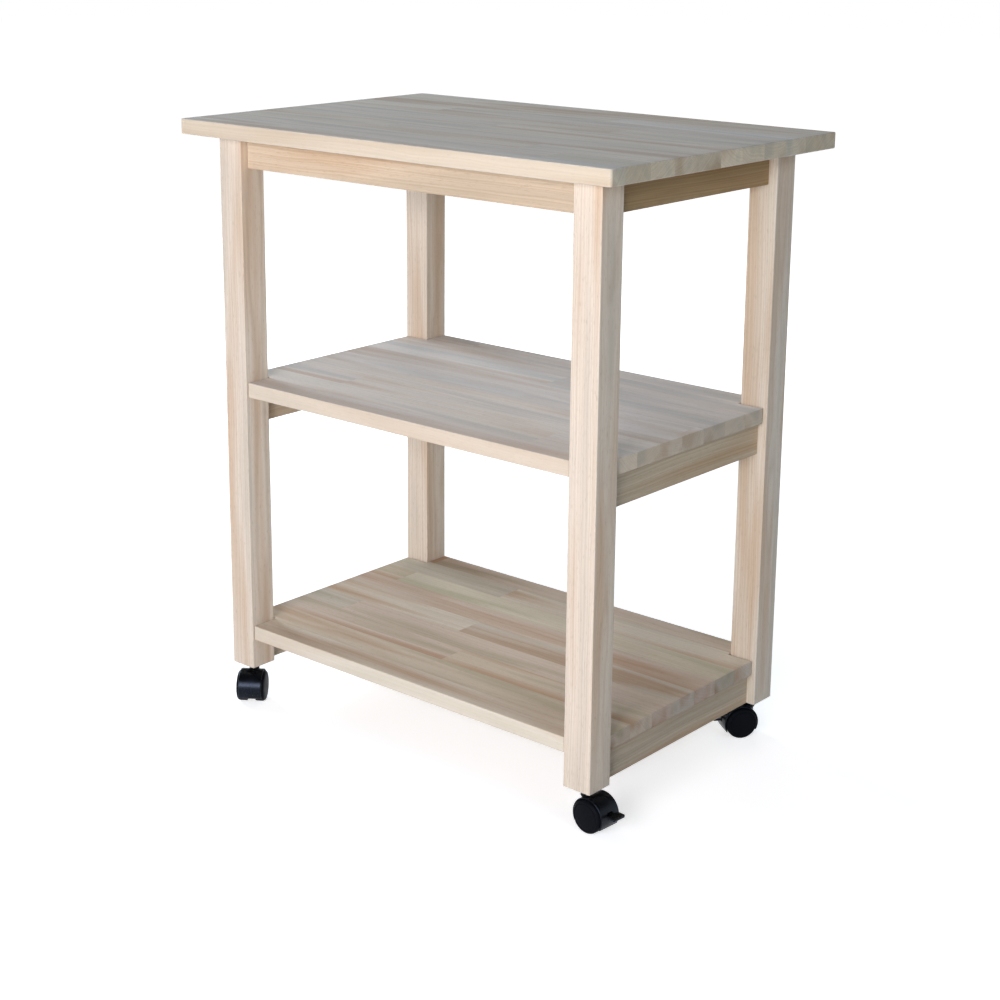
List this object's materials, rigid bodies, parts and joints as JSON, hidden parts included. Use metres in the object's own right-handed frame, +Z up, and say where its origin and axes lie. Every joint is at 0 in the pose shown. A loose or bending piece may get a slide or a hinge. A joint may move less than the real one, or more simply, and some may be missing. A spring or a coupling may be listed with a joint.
{
  "type": "microwave cart",
  "caption": "Open wooden cart with an overhanging board top, square legs, a middle and a bottom shelf on side rails, and hooded twin-wheel swivel casters.",
  "frame": {"origin": "on the floor, under the middle of the top", "axes": "+X along the top's long side, -Y is the front, +Z up"},
  "size_m": [0.6604, 0.4368, 0.7595],
  "materials": {
    "rubberwood": "sanded bare rubberwood, staves edge-glued into boards",
    "hood_nylon": "satin black moulded nylon",
    "wheel_nylon": "smooth black moulded nylon",
    "zinc_steel": "bright zinc plated"
  },
  "bodies": {
    "frame": {"top_board": "rubberwood", "leg_front_left": "rubberwood", "leg_front_right": "rubberwood", "leg_rear_left": "rubberwood", "leg_rear_right": "rubberwood", "apron_front": "rubberwood", "apron_rear": "rubberwood", "apron_left": "rubberwood", "apron_right": "rubberwood", "rail_middle_left": "rubberwood", "rail_middle_right": "rubberwood", "rail_bottom_left": "rubberwood", "rail_bottom_right": "rubberwood", "middle_shelf": "rubberwood", "bottom_shelf": "rubberwood", "corner_block_front_left": "rubberwood", "corner_block_front_right": "rubberwood", "corner_block_rear_left": "rubberwood", "corner_block_rear_right": "rubberwood", "corner_bolt_front_left": "zinc_steel", "corner_bolt_front_right": "zinc_steel", "corner_bolt_rear_left": "zinc_steel", "corner_bolt_rear_right": "zinc_steel", "top_screw_front_left": "zinc_steel", "top_screw_front_right": "zinc_steel", "top_screw_rear_left": "zinc_steel", "top_screw_rear_right": "zinc_steel", "shelf_screw_middle_left": "zinc_steel", "shelf_screw_middle_right": "zinc_steel", "shelf_screw_bottom_left": "zinc_steel", "shelf_screw_bottom_right": "zinc_steel", "caster_socket_front_left": "zinc_steel", "caster_socket_front_right": "zinc_steel", "caster_socket_rear_left": "zinc_steel", "caster_socket_rear_right": "zinc_steel", "caster_stem_front_left": "zinc_steel", "caster_stem_front_right": "zinc_steel", "caster_stem_rear_left": "zinc_steel", "caster_stem_rear_right": "zinc_steel"},
    "swivel_front_left": {"caster_hood_front_left": "hood_nylon", "caster_axle_front_left": "zinc_steel"},
    "swivel_front_right": {"caster_hood_front_right": "hood_nylon", "caster_axle_front_right": "zinc_steel"},
    "swivel_rear_left": {"caster_hood_rear_left": "hood_nylon", "caster_axle_rear_left": "zinc_steel"},
    "swivel_rear_right": {"caster_hood_rear_right": "hood_nylon", "caster_axle_rear_right": "zinc_steel"},
    "wheel_front_left_a": {"caster_wheel_front_left_a": "wheel_nylon"},
    "wheel_front_left_b": {"caster_wheel_front_left_b": "wheel_nylon"},
    "wheel_front_right_a": {"caster_wheel_front_right_a": "wheel_nylon"},
    "wheel_front_right_b": {"caster_wheel_front_right_b": "wheel_nylon"},
    "wheel_rear_left_a": {"caster_wheel_rear_left_a": "wheel_nylon"},
    "wheel_rear_left_b": {"caster_wheel_rear_left_b": "wheel_nylon"},
    "wheel_rear_right_a": {"caster_wheel_rear_right_a": "wheel_nylon"},
    "wheel_rear_right_b": {"caster_wheel_rear_right_b": "wheel_nylon"},
    "pedal_front_right": {"brake_pedal_front_right": "hood_nylon"},
    "pedal_rear_right": {"brake_pedal_rear_right": "hood_nylon"}
  },
  "joints": [
    {"name": "swivel_front_left", "type": "hinge", "parent": "frame", "child": "swivel_front_left", "pos_m": [-0.2767, -0.16745, 0.045], "axis": [0, 0, 1], "continuous": true},
    {"name": "swivel_front_right", "type": "hinge", "parent": "frame", "child": "swivel_front_right", "pos_m": [0.2767, -0.16745, 0.045], "axis": [0, 0, 1], "continuous": true},
    {"name": "swivel_rear_left", "type": "hinge", "parent": "frame", "child": "swivel_rear_left", "pos_m": [-0.2767, 0.16745, 0.045], "axis": [0, 0, 1], "continuous": true},
    {"name": "swivel_rear_right", "type": "hinge", "parent": "frame", "child": "swivel_rear_right", "pos_m": [0.2767, 0.16745, 0.045], "axis": [0, 0, 1], "continuous": true},
    {"name": "roll_front_left_a", "type": "hinge", "parent": "swivel_front_left", "child": "wheel_front_left_a", "pos_m": [-0.26788, -0.17959, 0.02], "axis": [0.809, 0.5878, 0], "continuous": true},
    {"name": "roll_front_left_b", "type": "hinge", "parent": "swivel_front_left", "child": "wheel_front_left_b", "pos_m": [-0.26788, -0.17959, 0.02], "axis": [0.809, 0.5878, 0], "continuous": true},
    {"name": "roll_front_right_a", "type": "hinge", "parent": "swivel_front_right", "child": "wheel_front_right_a", "pos_m": [0.29166, -0.1685, 0.02], "axis": [0.0698, 0.9976, 0], "continuous": true},
    {"name": "roll_front_right_b", "type": "hinge", "parent": "swivel_front_right", "child": "wheel_front_right_b", "pos_m": [0.29166, -0.1685, 0.02], "axis": [0.0698, 0.9976, 0], "continuous": true},
    {"name": "roll_rear_left_a", "type": "hinge", "parent": "swivel_rear_left", "child": "wheel_rear_left_a", "pos_m": [-0.28969, 0.17495, 0.02], "axis": [-0.5, -0.866, 0], "continuous": true},
    {"name": "roll_rear_left_b", "type": "hinge", "parent": "swivel_rear_left", "child": "wheel_rear_left_b", "pos_m": [-0.28969, 0.17495, 0.02], "axis": [-0.5, -0.866, 0], "continuous": true},
    {"name": "roll_rear_right_a", "type": "hinge", "parent": "swivel_rear_right", "child": "wheel_rear_right_a", "pos_m": [0.26788, 0.15531, 0.02], "axis": [0.809, -0.5878, 0], "continuous": true},
    {"name": "roll_rear_right_b", "type": "hinge", "parent": "swivel_rear_right", "child": "wheel_rear_right_b", "pos_m": [0.26788, 0.15531, 0.02], "axis": [0.809, -0.5878, 0], "continuous": true},
    {"name": "press_front_right", "type": "hinge", "parent": "swivel_front_right", "child": "pedal_front_right", "pos_m": [0.30164, -0.16919, 0.0236], "axis": [0.0698, 0.9976, 0], "range_deg": [0, 12]},
    {"name": "press_rear_right", "type": "hinge", "parent": "swivel_rear_right", "child": "pedal_rear_right", "pos_m": [0.26201, 0.14722, 0.0236], "axis": [0.809, -0.5878, 0], "range_deg": [0, 12]}
  ]
}
